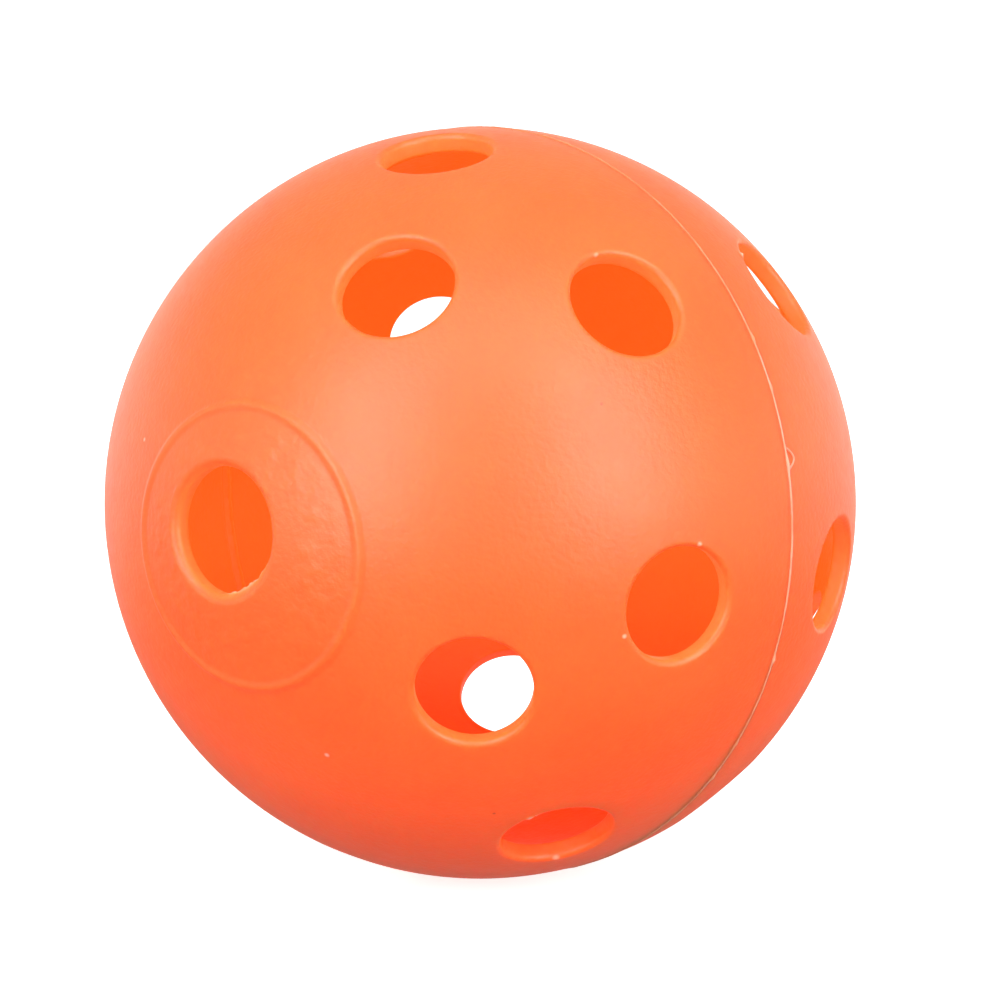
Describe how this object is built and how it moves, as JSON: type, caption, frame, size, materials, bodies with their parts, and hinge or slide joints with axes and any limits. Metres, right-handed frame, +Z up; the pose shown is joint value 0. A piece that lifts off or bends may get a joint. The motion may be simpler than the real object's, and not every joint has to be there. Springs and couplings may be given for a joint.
{
  "type": "pickleball",
  "caption": "Hollow perforated plastic ball with round holes, made of two half shells welded round the equator, with a raised ring at one pole.",
  "frame": {"origin": "centre of the ball's sphere", "axes": "Y along the mould axis through both pole holes, with the ringed half towards -Y and the plain half towards +Y; the weld is in the plane y = 0; +Z up"},
  "size_m": [0.0746, 0.0732, 0.0746],
  "materials": {
    "shell_plastic": "satin moulded polyethylene, bright orange",
    "weld_plastic": "satin remelted polyethylene, slightly paler orange"
  },
  "bodies": {
    "root": {"ringed_half_shell": "shell_plastic", "plain_half_shell": "shell_plastic", "outer_weld_bead": "weld_plastic", "inner_weld_bead": "weld_plastic"}
  },
  "joints": []
}
